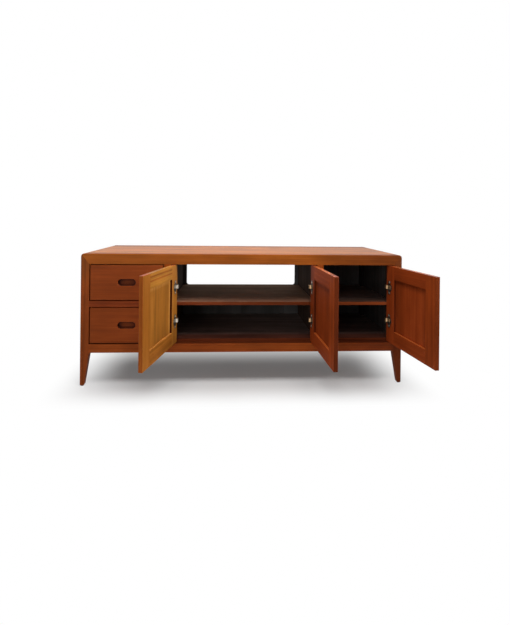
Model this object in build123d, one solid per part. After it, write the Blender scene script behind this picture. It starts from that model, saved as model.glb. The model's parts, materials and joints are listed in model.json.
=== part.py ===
from build123d import *
from math import sqrt
import os

# A solid timber television stand on four tapered legs: two drawers on the left, a middle bay
# with a shelf, an open back window and a pair of doors, and a right bay with a shelf and one door.
# Millimetres. X runs to the right, Y to the back, Z up. The origin is on the floor, at the centre
# of the carcase's footprint. The doors stand open and the drawers are shut.

# Carcase
WIDTH = 1500.0
DEPTH = 462.0
HEIGHT = 607.0
LEG_HEIGHT = 152.0
APRON_HEIGHT = 40.0
APRON_THICKNESS = 40.0
TOP_RAIL_HEIGHT = 48.0
POST_WIDTH = 38.0
POST_DEPTH = 44.0
KNEE_DEPTH = 28.0
FOOT_WIDTH = 19.0
FOOT_DEPTH = 17.0
SHOULDER_RADIUS = 12.0
FOOT_CHAMFER = 4.5
FOOT_CHAMFER_RISE = 6.5
TOP_CORNER_RADIUS = 14.0
EDGE_BEVEL = 2.0
TOP_THICKNESS = 22.0
BOTTOM_THICKNESS = 14.0
BOTTOM_SETBACK = 28.0
SIDE_THICKNESS = 18.0
SIDE_RECESS = 2.0
TONGUE_THICKNESS = 6.0
TONGUE_LENGTH = 8.0
GLUE_GAP = 0.1

# Bays
DIVIDER_THICKNESS = 30.0
MIDDLE_BAY_WIDTH = 684.0
DRAWER_RAIL_HEIGHT = 27.0
DRAWER_RAIL_DEPTH = 44.0
BACK_THICKNESS = 6.0
BACK_INSET = 2.0
WINDOW_SIDE_MARGIN = 21.0
WINDOW_TOP_MARGIN = 24.0
WINDOW_RADIUS = 14.0

# Shelves
SHELF_ABOVE_DRAWER_RAIL = 17.0
SHELF_THICKNESS = 15.5
SHELF_SETBACK = 28.0
CLEAT_WIDTH = 17.0
CLEAT_HEIGHT = 14.0
CLEAT_SETBACK = 4.0
BATTEN_DEPTH = 50.0

# Doors
DOOR_THICKNESS = 18.0
DOOR_GAP = 2.0
HINGE_GAP = 2.5
STILE_WIDTH = 60.0
DOOR_RAIL_WIDTH = 60.0
DOOR_EDGE_ROUNDING = 3.5
DOOR_PANEL_THICKNESS = 5.0
DOOR_PANEL_OUTER_RECESS = 3.0
GROOVE_DEPTH = 8.0
PANEL_MOVEMENT_GAP = 0.5
LEFT_DOOR_ANGLE = 103.5
MIDDLE_DOOR_ANGLE = 92.0
RIGHT_DOOR_ANGLE = 97.5

# Concealed hinges
HINGE_INSET = 103.0
CUP_RADIUS = 17.5
CUP_DEPTH = 13.5
CUP_WALL = 0.9
CUP_FLOOR = 0.7
CUP_FIT = 0.1
CUP_EDGE_DISTANCE = 5.0
CUP_WELL_HEIGHT = 22.0
FLANGE_THICKNESS = 1.2
FLANGE_RIM = 1.5
FLANGE_LENGTH = 64.0
FLANGE_WIDTH = 18.0
FLANGE_CORNER = 4.0
PIN_RADIUS = 1.25
PIN_RUNNING_CLEARANCE = 0.05
PIN_RIM_DISTANCE = 6.5
EYE_RADIUS = 2.4
EYE_FLOOR_CLEARANCE = 0.3
ARM_THICKNESS = 2.4
ARM_HEIGHT = 16.0
ARM_REACH = 18.5
ARM_BEND_RADIUS = 6.0
ARM_HEEL_RADIUS = 2.5
ARM_DOOR_CLEARANCE = 1.3
ARM_FOOT_LENGTH = 28.0
PLATE_THICKNESS = 2.0
PLATE_HEIGHT = 50.0
PLATE_BODY_HEIGHT = 22.0
PLATE_LENGTH = 38.0
PLATE_WING_LENGTH = 18.0

# Finger pulls
PULL_LENGTH = 81.0
PULL_HEIGHT = 31.0
PULL_DEPTH = 13.0
PULL_LIP = 1.6

# Drawers
DRAWER_GAP = 4.5
DRAWER_FRONT_THICKNESS = 20.0
DRAWER_EDGE_ROUNDING = 2.5
DRAWER_SIDE_THICKNESS = 16.0
DRAWER_SIDE_TOP_DROP = 30.0
DRAWER_BACK_CLEARANCE = 34.0
DRAWER_BACK_THICKNESS = 12.0
DRAWER_SIDE_LIFT = 16.0
DRAWER_BOTTOM_THICKNESS = 6.0
DRAWER_BOTTOM_LIFT = 8.0
DRAWER_BOTTOM_GROOVE = 7.0
TAIL_COUNT = 3
TAIL_LENGTH = 13.0
TAIL_SPACING = 8.6
TAIL_FLARE = 2.2
RUNNER_HEIGHT = 16.0
RUNNER_DEPTH = 10.0
RUNNER_LIFT = 52.0
RUNNER_SIDE_GAP = 0.5
RUNNER_FACE_GAP = 0.3
RUNNER_END_GAP = 2.0

# Levels and planes that the pieces share
FRONT = -DEPTH / 2
BACK = DEPTH / 2
HALF_WIDTH = WIDTH / 2
POST_INNER = HALF_WIDTH - POST_WIDTH
FLOOR_OF_BAYS = LEG_HEIGHT + APRON_HEIGHT
RAIL_UNDERSIDE = HEIGHT - TOP_RAIL_HEIGHT
TOP_UNDERSIDE = HEIGHT - TOP_THICKNESS
BOTTOM_TOP = FLOOR_OF_BAYS + BOTTOM_THICKNESS
BOTTOM_FRONT = FRONT + BOTTOM_SETBACK
SIDE_OUTER = HALF_WIDTH - SIDE_RECESS
SIDE_INNER = SIDE_OUTER - SIDE_THICKNESS
POST_BACK = FRONT + POST_DEPTH
REAR_POST_FRONT = BACK - POST_DEPTH
BACK_PANEL_FRONT = BACK - BACK_INSET - BACK_THICKNESS
MIDDLE_FACE = MIDDLE_BAY_WIDTH / 2
OUTER_FACE = MIDDLE_FACE + DIVIDER_THICKNESS
DIVIDER_MIDDLE = MIDDLE_FACE + DIVIDER_THICKNESS / 2
BATTEN_BACK = POST_BACK + BATTEN_DEPTH
DRAWER_OPENING = (RAIL_UNDERSIDE - FLOOR_OF_BAYS - DRAWER_RAIL_HEIGHT) / 2
DRAWER_RAIL_BOTTOM = FLOOR_OF_BAYS + DRAWER_OPENING
SHELF_TOP = DRAWER_RAIL_BOTTOM + SHELF_ABOVE_DRAWER_RAIL
DOOR_BOTTOM = FLOOR_OF_BAYS + DOOR_GAP
DOOR_TOP = RAIL_UNDERSIDE - DOOR_GAP
CUP_CENTRE = HINGE_GAP + CUP_EDGE_DISTANCE + CUP_RADIUS
CUP_OUTER = CUP_RADIUS - CUP_FIT
CUP_INNER = CUP_OUTER - CUP_WALL
PIVOT_FROM_BAY = CUP_CENTRE - CUP_INNER + PIN_RIM_DISTANCE
PIVOT_DEPTH = CUP_DEPTH - CUP_FIT - CUP_FLOOR - EYE_FLOOR_CLEARANCE - EYE_RADIUS
PIVOT_FROM_FRONT = DOOR_THICKNESS - PIVOT_DEPTH
HINGE_LEVELS = (DOOR_BOTTOM + HINGE_INSET, DOOR_TOP - HINGE_INSET)


def block(x0, x1, y0, y1, z0, z1):
    """A rectangular board between two corners."""
    board = Box(x1 - x0, y1 - y0, z1 - z0, align=(Align.MIN, Align.MIN, Align.MIN))
    return Pos(x0, y0, z0) * board


def plate_on(plane, points, start, thickness):
    """A board cut to an outline on a plane, from one distance along its normal to another."""
    outline = make_face(Polyline(*points, close=True))
    return extrude(plane.offset(start) * outline, thickness)


def save(name, *pieces):
    """Write one node; a group of like pieces becomes one node of separate solids."""
    solids = [solid for piece in pieces for solid in piece.solids()]
    shape = solids[0] if len(solids) == 1 else Compound(children=solids)
    export_step(shape, f"parts/{name}.step")


def both_sides(piece):
    """A piece and its mirror image on the other side of the carcase."""
    return piece, mirror(piece, about=Plane.YZ)


def outer_form():
    """The carcase's outside, round at the top corners and bevelled along the front and the back,
    which trims the posts, the rails and the top."""
    body = block(-HALF_WIDTH, HALF_WIDTH, FRONT, BACK, 0, HEIGHT)
    top_sides = body.edges().filter_by(Axis.Y).group_by(Axis.Z)[-1]
    body = fillet(top_sides, TOP_CORNER_RADIUS)
    faces = body.faces().filter_by(Plane.XZ)
    rims = [edge for face in faces for edge in face.edges() if edge.center().Z > 0]
    return chamfer(rims, EDGE_BEVEL)


def leg_outline(post_size, knee_size, foot_size, top):
    """A post and leg seen square on, from its outer edge at zero: the foot is narrow, the leg
    widens straight up to its knee, and a hollow shoulder turns it out under the carcase."""
    shoulder = LEG_HEIGHT - SHOULDER_RADIUS
    foot = (foot_size, 0)
    knee = (knee_size, shoulder)
    outline = Curve() + [
        Line((0, 0), foot),
        Line(foot, knee),
        JernArc(knee, (0, 1), SHOULDER_RADIUS, -90),
        Line((knee_size + SHOULDER_RADIUS, LEG_HEIGHT), (post_size, LEG_HEIGHT)),
        Line((post_size, LEG_HEIGHT), (post_size, RAIL_UNDERSIDE)),
        Line((post_size, RAIL_UNDERSIDE), (0, top)),
        Line((0, top), (0, 0)),
    ]
    return make_face(outline)


def foot_tip():
    """An upside-down pyramid that takes the edges off all round the left front leg's foot."""
    pad = (FOOT_WIDTH - 2 * FOOT_CHAMFER, FOOT_DEPTH - 2 * FOOT_CHAMFER)
    spread = 2 * HEIGHT * FOOT_CHAMFER / FOOT_CHAMFER_RISE
    middle = (-HALF_WIDTH + FOOT_WIDTH / 2, FRONT + FOOT_DEPTH / 2)
    return loft([Pos(*middle, 0) * Rectangle(*pad),
                 Pos(*middle, HEIGHT) * Rectangle(pad[0] + spread, pad[1] + spread)])


def front_left_post(form):
    """A corner post mitred at the top, with a leg that tapers on both of its inner sides and
    a groove for the side panel's tongue."""
    reach = max(POST_DEPTH, KNEE_DEPTH + SHOULDER_RADIUS)
    width_way = extrude(Plane.XZ.offset(-FRONT) * Pos(-HALF_WIDTH, 0) * leg_outline(
        POST_WIDTH, POST_WIDTH, FOOT_WIDTH, HEIGHT), -reach)
    side = leg_outline(POST_DEPTH, KNEE_DEPTH, FOOT_DEPTH, RAIL_UNDERSIDE)
    side += Pos(0, RAIL_UNDERSIDE) * Rectangle(
        POST_DEPTH, TOP_RAIL_HEIGHT, align=(Align.MIN, Align.MIN))
    depth_way = extrude(Plane.YZ.offset(-HALF_WIDTH) * Pos(FRONT, 0) * side,
                        POST_WIDTH + SHOULDER_RADIUS)
    return (width_way & depth_way & form & foot_tip()) - side_panel_groove()


def side_panel_groove():
    """The groove in the left front post, a glue gap wider than the tongue."""
    middle = -(SIDE_OUTER + SIDE_INNER) / 2
    half = TONGUE_THICKNESS / 2 + GLUE_GAP
    return block(middle - half, middle + half, POST_BACK - TONGUE_LENGTH - GLUE_GAP, POST_BACK,
                 LEG_HEIGHT, TOP_UNDERSIDE)


def front_top_rail(form):
    """The front band under the top, mitred to the posts and grooved for the top's tongue."""
    points = [(-HALF_WIDTH, HEIGHT), (HALF_WIDTH, HEIGHT),
              (POST_INNER, RAIL_UNDERSIDE), (-POST_INNER, RAIL_UNDERSIDE)]
    rail = plate_on(Plane.XZ, points, -FRONT, -POST_DEPTH) & form
    middle = HEIGHT - TOP_THICKNESS / 2
    half = TONGUE_THICKNESS / 2 + GLUE_GAP
    groove = block(-POST_INNER, POST_INNER, POST_BACK - TONGUE_LENGTH - GLUE_GAP, POST_BACK,
                   middle - half, middle + half)
    return rail - groove


def top_panel(form):
    """The top board, between the two top rails, with a tongue along each long edge."""
    board = block(-HALF_WIDTH, HALF_WIDTH, POST_BACK, REAR_POST_FRONT, TOP_UNDERSIDE, HEIGHT)
    middle = HEIGHT - TOP_THICKNESS / 2
    half = TONGUE_THICKNESS / 2
    length = POST_INNER - GLUE_GAP
    tongue = block(-length, length, POST_BACK - TONGUE_LENGTH, REAR_POST_FRONT + TONGUE_LENGTH,
                   middle - half, middle + half)
    return (board + tongue) & form


def left_side_panel():
    """A side board with a tongue along each upright edge."""
    board = block(-SIDE_OUTER, -SIDE_INNER, POST_BACK, REAR_POST_FRONT,
                  LEG_HEIGHT, TOP_UNDERSIDE)
    middle = -(SIDE_OUTER + SIDE_INNER) / 2
    half = TONGUE_THICKNESS / 2
    tongue = block(middle - half, middle + half,
                   POST_BACK - TONGUE_LENGTH, REAR_POST_FRONT + TONGUE_LENGTH,
                   LEG_HEIGHT, TOP_UNDERSIDE)
    return board + tongue


def bottom_panel():
    """The bottom board lies on the aprons. Its front edge stands back, clear of the circle that
    a door's hinge corner sweeps, and its corners are cut round the posts."""
    board = block(-SIDE_INNER, SIDE_INNER, BOTTOM_FRONT, BACK_PANEL_FRONT, FLOOR_OF_BAYS, BOTTOM_TOP)
    for x in (-1, 1):
        low, high = sorted((x * POST_INNER, x * HALF_WIDTH))
        board -= block(low, high, FRONT, POST_BACK, FLOOR_OF_BAYS, BOTTOM_TOP)
        board -= block(low, high, REAR_POST_FRONT, BACK, FLOOR_OF_BAYS, BOTTOM_TOP)
    return board


def left_divider():
    """An upright board whose front edge comes flush to the front between rail and apron."""
    points = [(FRONT, FLOOR_OF_BAYS), (BOTTOM_FRONT, FLOOR_OF_BAYS), (BOTTOM_FRONT, BOTTOM_TOP),
              (BACK_PANEL_FRONT, BOTTOM_TOP), (BACK_PANEL_FRONT, RAIL_UNDERSIDE),
              (REAR_POST_FRONT, RAIL_UNDERSIDE), (REAR_POST_FRONT, TOP_UNDERSIDE),
              (POST_BACK, TOP_UNDERSIDE), (POST_BACK, RAIL_UNDERSIDE), (FRONT, RAIL_UNDERSIDE)]
    return plate_on(Plane.YZ, points, -OUTER_FACE, DIVIDER_THICKNESS)


def back_board(x0, x1):
    """A thin back panel between the rear apron and the rear top rail."""
    return block(x0, x1, BACK_PANEL_FRONT, BACK - BACK_INSET, FLOOR_OF_BAYS, RAIL_UNDERSIDE)


def middle_back_panel():
    """The middle back has a wide window with rounded corners, level with the shelf."""
    width = MIDDLE_BAY_WIDTH - 2 * WINDOW_SIDE_MARGIN
    top = RAIL_UNDERSIDE - WINDOW_TOP_MARGIN
    window = RectangleRounded(width, top - SHELF_TOP, WINDOW_RADIUS)
    cut = extrude(Plane.XZ.offset(-BACK) * Pos(0, (top + SHELF_TOP) / 2) * window, DEPTH / 2)
    return back_board(-DIVIDER_MIDDLE, DIVIDER_MIDDLE) - cut


def middle_shelf():
    """The middle shelf, whose front stands back behind the sweep of the doors' hinge corners."""
    return block(-MIDDLE_FACE, MIDDLE_FACE, FRONT + SHELF_SETBACK, BACK_PANEL_FRONT,
                 SHELF_TOP - SHELF_THICKNESS, SHELF_TOP)


def right_shelf():
    """The right shelf is cut round the post and the hinge batten, and reaches the side panel."""
    points = [(OUTER_FACE, FRONT + SHELF_SETBACK), (POST_INNER, FRONT + SHELF_SETBACK),
              (POST_INNER, BATTEN_BACK), (SIDE_INNER, BATTEN_BACK),
              (SIDE_INNER, REAR_POST_FRONT), (POST_INNER, REAR_POST_FRONT),
              (POST_INNER, BACK_PANEL_FRONT), (OUTER_FACE, BACK_PANEL_FRONT)]
    return plate_on(Plane.XY, points, SHELF_TOP - SHELF_THICKNESS, SHELF_THICKNESS)


def shelf_cleats():
    """Strips under the ends of both shelves."""
    top = SHELF_TOP - SHELF_THICKNESS
    front = FRONT + SHELF_SETBACK + CLEAT_SETBACK
    strips = []
    for x0, start in ((-MIDDLE_FACE, front), (MIDDLE_FACE - CLEAT_WIDTH, front),
                      (OUTER_FACE, front), (SIDE_INNER - CLEAT_WIDTH, BATTEN_BACK)):
        strips.append(block(x0, x0 + CLEAT_WIDTH, start, REAR_POST_FRONT,
                            top - CLEAT_HEIGHT, top))
    return strips


def with_pull(board, length, height):
    """Rout a pill-shaped finger pocket into the middle of a board's front and bevel its lip."""
    middle = board.bounding_box().center()
    front = board.bounding_box().min.Y
    plane = Plane.XZ.offset(-front)
    pill = SlotOverall(max(length, height), min(length, height), 90 if height > length else 0)
    routed = board - extrude(plane * Pos(middle.X, middle.Z) * pill, -PULL_DEPTH)
    mouth = routed.faces().filter_by(Plane.XZ).sort_by(Axis.Y)[0].inner_wires()
    return chamfer([edge for wire in mouth for edge in wire.edges()], PULL_LIP)


def ease_front(board, radius):
    """Round the edges of a board's front face."""
    return fillet(board.faces().sort_by(Axis.Y)[0].edges(), radius)


def drawer_box(opening_bottom):
    """The five boards of one drawer. The front is flush with the carcase, the sides are grooved
    for the runners, and the bottom slides into grooves in the front and sides."""
    x0 = -POST_INNER + DRAWER_GAP
    x1 = -OUTER_FACE - DRAWER_GAP
    z0 = opening_bottom + DRAWER_GAP
    z1 = opening_bottom + DRAWER_OPENING - DRAWER_GAP
    face = FRONT + DRAWER_FRONT_THICKNESS
    end = BACK_PANEL_FRONT - DRAWER_BACK_CLEARANCE
    low = z0 + DRAWER_SIDE_LIFT
    high = z1 - DRAWER_SIDE_TOP_DROP
    inner0 = x0 + DRAWER_SIDE_THICKNESS
    inner1 = x1 - DRAWER_SIDE_THICKNESS
    bottom_low = low + DRAWER_BOTTOM_LIFT
    bottom_high = bottom_low + DRAWER_BOTTOM_THICKNESS
    bottom_groove = block(inner0 - DRAWER_BOTTOM_GROOVE, inner1 + DRAWER_BOTTOM_GROOVE,
                          face - DRAWER_BOTTOM_GROOVE, end,
                          bottom_low - GLUE_GAP, bottom_high + GLUE_GAP)
    runner_grooves = drawer_runners(opening_bottom, RUNNER_SIDE_GAP, RUNNER_FACE_GAP)

    front = ease_front(block(x0, x1, FRONT, face, z0, z1), DRAWER_EDGE_ROUNDING)
    front = with_pull(front, PULL_LENGTH, PULL_HEIGHT) - bottom_groove
    sides = []
    for start, runner_groove in zip((x0, inner1), runner_grooves):
        tails = dovetails(start, face, bottom_high + GLUE_GAP, high)
        front -= tails
        side = block(start, start + DRAWER_SIDE_THICKNESS, face, end, low, high)
        sides.append(side - bottom_groove - runner_groove + tails)
    back = block(inner0, inner1, end - DRAWER_BACK_THICKNESS, end,
                 bottom_high + GLUE_GAP, high)
    reach = DRAWER_BOTTOM_GROOVE - PANEL_MOVEMENT_GAP
    bottom = block(inner0 - reach, inner1 + reach, face - reach, end, bottom_low, bottom_high)
    return {"front": front, "left_side": sides[0], "right_side": sides[1],
            "back": back, "bottom": bottom}


def dovetails(start, face, low, high):
    """The tails on a drawer side's front end, which flare into blind sockets in the front."""
    pitch = (high - low) / TAIL_COUNT
    root = (pitch - TAIL_SPACING) / 2
    tip = root + TAIL_FLARE
    tails = []
    for number in range(TAIL_COUNT):
        middle = low + (number + 0.5) * pitch
        outline = [(face, middle - root), (face - TAIL_LENGTH, middle - tip),
                   (face - TAIL_LENGTH, middle + tip), (face, middle + root)]
        tails.append(plate_on(Plane.YZ, outline, start, DRAWER_SIDE_THICKNESS))
    return Part() + tails


def drawer_runners(opening_bottom, side_gap=0.0, face_gap=0.0):
    """The strips on the post and on the divider that carry one drawer, or with the gaps, the
    grooves that run on them. Their front ends stop the drawer flush."""
    low = opening_bottom + DRAWER_GAP + DRAWER_SIDE_LIFT + RUNNER_LIFT
    start = FRONT + DRAWER_FRONT_THICKNESS + RUNNER_FACE_GAP - face_gap
    stop = BACK_PANEL_FRONT - RUNNER_END_GAP
    z0 = low - face_gap
    z1 = low + RUNNER_HEIGHT + face_gap
    depth = RUNNER_DEPTH + side_gap
    return (block(-POST_INNER, -POST_INNER + depth, start, stop, z0, z1),
            block(-OUTER_FACE - depth, -OUTER_FACE, start, stop, z0, z1))


def cup_bore(level, radius, depth):
    """A round pocket from the door's inner face, at the hinge cup's centre."""
    pocket = Cylinder(radius, depth, align=(Align.CENTER, Align.CENTER, Align.MIN))
    return Pos(CUP_CENTRE, DOOR_THICKNESS, level) * Rot(90, 0, 0) * pocket


def pivot_rod(level, radius, length):
    """An upright cylinder on the hinge's axis."""
    return Pos(PIVOT_FROM_BAY, PIVOT_FROM_FRONT, level) * Cylinder(radius, length)


def hinge_pin(level):
    """The pin on which the arm's eye turns, between the cheeks of the cup's well."""
    return pivot_rod(level, PIN_RADIUS, CUP_WELL_HEIGHT)


def hinge_cup(level):
    """A round cup with a rim and two ears that lie on the door's inner face. Its well has flat
    cheeks above and below, and the pin is riveted between them."""
    depth = CUP_DEPTH - CUP_FIT
    face = Plane.XZ.offset(-DOOR_THICKNESS) * Pos(CUP_CENTRE, level)
    ears = chamfer(Rectangle(FLANGE_WIDTH, FLANGE_LENGTH).vertices(), FLANGE_CORNER)
    flange = Circle(CUP_RADIUS + FLANGE_RIM) + ears
    well = Circle(CUP_INNER) & Rectangle(2 * CUP_INNER, CUP_WELL_HEIGHT)
    cup = cup_bore(level, CUP_OUTER, depth) + extrude(face * flange, -FLANGE_THICKNESS)
    cup -= extrude(face * well, depth - CUP_FLOOR)
    return cup - extrude(face * well, -FLANGE_THICKNESS)


def arm_line():
    """How far behind the front the arm crosses to the bay's wall: just clear of the circle
    that the door's inner hinge corner sweeps."""
    sweep = sqrt((PIVOT_FROM_BAY - HINGE_GAP) ** 2 + (DOOR_THICKNESS - PIVOT_FROM_FRONT) ** 2)
    return PIVOT_FROM_FRONT + sweep + ARM_DOOR_CLEARANCE + ARM_THICKNESS / 2


def hinge_arm(level):
    """A goose-necked arm. Its eye turns on the pin inside the cup, its neck comes out of the
    cup's mouth and bends round the door's hinge edge, and its foot lies on the plate."""
    crossing = arm_line()
    reach = PIVOT_FROM_BAY + ARM_REACH
    foot = PLATE_THICKNESS + ARM_THICKNESS / 2
    route = FilletPolyline((PIVOT_FROM_BAY, PIVOT_FROM_FRONT), (reach, PIVOT_FROM_FRONT),
                           (reach, crossing), (foot, crossing),
                           (foot, crossing + ARM_FOOT_LENGTH),
                           radius=[ARM_BEND_RADIUS, ARM_BEND_RADIUS, ARM_HEEL_RADIUS])
    base = Plane.XY.offset(level - ARM_HEIGHT / 2)
    arm = extrude(base * trace(route, ARM_THICKNESS), ARM_HEIGHT)
    arm += pivot_rod(level, EYE_RADIUS, ARM_HEIGHT)
    return arm - pivot_rod(level, PIN_RADIUS + PIN_RUNNING_CLEARANCE, FLANGE_LENGTH)


def hinge_plate(level):
    """A cross-shaped mounting plate on the bay's wall."""
    start = arm_line() - ARM_THICKNESS
    cross = Rectangle(PLATE_LENGTH, PLATE_BODY_HEIGHT) + Rectangle(PLATE_WING_LENGTH, PLATE_HEIGHT)
    return extrude(Plane.YZ * Pos(start + PLATE_LENGTH / 2, level) * cross, PLATE_THICKNESS)


def door_pieces(width):
    """The pieces of one shut door, hinged on the left of its bay: its bay's wall is at X zero
    and the carcase's front at Y zero. A framed panel stands deep behind the inner face."""
    u0 = HINGE_GAP
    u1 = u0 + width
    inner0 = u0 + STILE_WIDTH
    inner1 = u1 - STILE_WIDTH
    low = DOOR_BOTTOM + DOOR_RAIL_WIDTH
    high = DOOR_TOP - DOOR_RAIL_WIDTH
    v0 = DOOR_PANEL_OUTER_RECESS
    v1 = v0 + DOOR_PANEL_THICKNESS
    reach = GROOVE_DEPTH - PANEL_MOVEMENT_GAP
    stile_groove = block(inner0 - GROOVE_DEPTH, inner1 + GROOVE_DEPTH, v0 - GLUE_GAP,
                         v1 + GLUE_GAP, DOOR_BOTTOM, DOOR_TOP)
    rail_groove = block(inner0 - GROOVE_DEPTH, inner1 + GROOVE_DEPTH, v0 - GLUE_GAP,
                        v1 + GLUE_GAP, low - GROOVE_DEPTH, high + GROOVE_DEPTH)

    hinge_stile = block(u0, inner0, 0, DOOR_THICKNESS, DOOR_BOTTOM, DOOR_TOP)
    hinge_stile = round_outer_edge(hinge_stile, 0) - stile_groove
    for level in HINGE_LEVELS:
        hinge_stile -= cup_bore(level, CUP_RADIUS, CUP_DEPTH)
    latch_stile = block(inner1, u1, 0, DOOR_THICKNESS, DOOR_BOTTOM, DOOR_TOP)
    latch_stile = with_pull(round_outer_edge(latch_stile, -1), PULL_HEIGHT, PULL_LENGTH)
    latch_stile -= stile_groove

    rails = []
    for z0, z1, tenon0, tenon1 in ((high, DOOR_TOP, high + GROOVE_DEPTH, DOOR_TOP),
                                   (DOOR_BOTTOM, low, DOOR_BOTTOM, low - GROOVE_DEPTH)):
        rail = block(inner0, inner1, 0, DOOR_THICKNESS, z0, z1)
        rail += block(inner0 - reach, inner1 + reach, v0, v1, tenon0, tenon1)
        rails.append(rail - rail_groove)
    panel = block(inner0 - reach, inner1 + reach, v0, v1, low - reach, high + reach)
    return {"hinge_stile": [hinge_stile], "latch_stile": [latch_stile],
            "top_rail": [rails[0]], "bottom_rail": [rails[1]], "panel": [panel],
            "hinge_cups": [hinge_cup(level) for level in HINGE_LEVELS],
            "hinge_pins": [hinge_pin(level) for level in HINGE_LEVELS]}


def round_outer_edge(stile, which):
    """Round one upright edge of a stile's front face, so that the door clears its bay."""
    edges = stile.faces().sort_by(Axis.Y)[0].edges().filter_by(Axis.Z)
    return fillet(edges.sort_by(Axis.X)[which], DOOR_EDGE_ROUNDING)


def placed(piece, bay_face, left_hinged, open_angle=0.0):
    """Swing a door's piece open about its pivot and set it against its bay's wall."""
    pivot = Axis((PIVOT_FROM_BAY, PIVOT_FROM_FRONT, 0), (0, 0, 1))
    turned = piece.rotate(pivot, -open_angle)
    handed = turned if left_hinged else mirror(turned, about=Plane.YZ)
    return Pos(bay_face, FRONT, 0) * handed


def save_carcase():
    form = outer_form()
    front_posts = both_sides(front_left_post(form))
    for side, post in zip(("left", "right"), front_posts):
        save(f"front_{side}_post", post)
        save(f"rear_{side}_post", mirror(post, about=Plane.XZ))
    rail = front_top_rail(form)
    save("front_top_rail", rail)
    save("rear_top_rail", mirror(rail, about=Plane.XZ))
    save("top_panel", top_panel(form))
    for side, panel in zip(("left", "right"), both_sides(left_side_panel())):
        save(f"{side}_side_panel", panel)
    apron = block(-POST_INNER, POST_INNER, FRONT, FRONT + APRON_THICKNESS,
                  LEG_HEIGHT, FLOOR_OF_BAYS)
    save("front_apron", apron)
    save("rear_apron", mirror(apron, about=Plane.XZ))
    save("bottom_panel", bottom_panel())
    for side, divider in zip(("left", "right"), both_sides(left_divider())):
        save(f"{side}_divider", divider)
    save("left_back_panel", back_board(-POST_INNER, -DIVIDER_MIDDLE))
    save("middle_back_panel", middle_back_panel())
    save("right_back_panel", back_board(DIVIDER_MIDDLE, POST_INNER))
    save("middle_shelf", middle_shelf())
    save("right_shelf", right_shelf())
    save("shelf_cleats", *shelf_cleats())
    save("hinge_batten", block(POST_INNER, SIDE_INNER, POST_BACK, BATTEN_BACK,
                               BOTTOM_TOP, TOP_UNDERSIDE))
    save("drawer_rail", block(-POST_INNER, -OUTER_FACE, FRONT, FRONT + DRAWER_RAIL_DEPTH,
                              DRAWER_RAIL_BOTTOM, DRAWER_RAIL_BOTTOM + DRAWER_RAIL_HEIGHT))


def save_drawers():
    runners = []
    for name, opening in (("lower_drawer", FLOOR_OF_BAYS),
                          ("upper_drawer", DRAWER_RAIL_BOTTOM + DRAWER_RAIL_HEIGHT)):
        runners.extend(drawer_runners(opening))
        for board, shape in drawer_box(opening).items():
            save(f"{name}_{board}", shape)
    save("drawer_runners", *runners)


def save_doors():
    pair_width = MIDDLE_FACE - HINGE_GAP - DOOR_GAP / 2
    single_width = POST_INNER - OUTER_FACE - HINGE_GAP - DOOR_GAP
    plates = []
    for name, bay_face, left_hinged, width, open_angle in (
            ("left_door", -MIDDLE_FACE, True, pair_width, LEFT_DOOR_ANGLE),
            ("middle_door", MIDDLE_FACE, False, pair_width, MIDDLE_DOOR_ANGLE),
            ("right_door", POST_INNER, False, single_width, RIGHT_DOOR_ANGLE)):
        for piece, shapes in door_pieces(width).items():
            save(f"{name}_{piece}",
                 *(placed(shape, bay_face, left_hinged, open_angle) for shape in shapes))
        arms = [hinge_arm(level) for level in HINGE_LEVELS]
        save(f"{name}_hinge_arms", *(placed(arm, bay_face, left_hinged) for arm in arms))
        plates.extend(placed(hinge_plate(level), bay_face, left_hinged)
                      for level in HINGE_LEVELS)
    save("hinge_plates", *plates)


os.makedirs("parts", exist_ok=True)
save_carcase()
save_drawers()
save_doors()
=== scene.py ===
# %% [markdown]
# # A low television stand with three doors and two drawers
# The stand is a long, low cabinet in oiled, red-brown hardwood. Its left bay holds two drawers,
# and the middle and right bays have framed doors, which stand open here on concealed hinges.
# The boards themselves come from the construction model and are never moved. This lesson gives
# them their finishes, eases their edges, adds the small screws and lights the result.

# %% Load the construction model
import json
import math

import bmesh
import bpy
from mathutils import Matrix, Vector


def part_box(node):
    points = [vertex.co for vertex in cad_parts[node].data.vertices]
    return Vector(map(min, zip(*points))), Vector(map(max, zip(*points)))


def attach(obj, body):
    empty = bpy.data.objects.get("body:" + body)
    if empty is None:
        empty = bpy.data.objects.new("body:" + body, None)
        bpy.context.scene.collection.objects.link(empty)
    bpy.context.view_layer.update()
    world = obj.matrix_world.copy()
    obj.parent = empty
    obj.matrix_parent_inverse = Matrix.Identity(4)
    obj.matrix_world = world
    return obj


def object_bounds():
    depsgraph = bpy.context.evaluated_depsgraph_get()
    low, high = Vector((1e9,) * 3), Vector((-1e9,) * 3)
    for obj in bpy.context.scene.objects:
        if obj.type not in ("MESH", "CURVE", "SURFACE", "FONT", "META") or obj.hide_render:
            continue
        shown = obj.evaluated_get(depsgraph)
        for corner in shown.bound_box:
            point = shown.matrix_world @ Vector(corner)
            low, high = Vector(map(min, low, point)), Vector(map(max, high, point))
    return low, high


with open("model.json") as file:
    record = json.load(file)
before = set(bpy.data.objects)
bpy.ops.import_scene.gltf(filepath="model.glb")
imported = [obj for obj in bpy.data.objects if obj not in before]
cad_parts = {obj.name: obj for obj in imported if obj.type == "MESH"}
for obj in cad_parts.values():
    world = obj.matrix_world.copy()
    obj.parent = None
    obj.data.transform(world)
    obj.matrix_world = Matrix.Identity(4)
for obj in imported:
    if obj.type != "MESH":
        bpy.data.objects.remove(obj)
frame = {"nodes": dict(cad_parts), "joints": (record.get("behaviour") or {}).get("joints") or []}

nodes = frame["nodes"]
cad_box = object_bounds()
MM = 0.001
print("nodes:", len(nodes), "box:", [round(v, 4) for corner in cad_box for v in corner])

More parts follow.
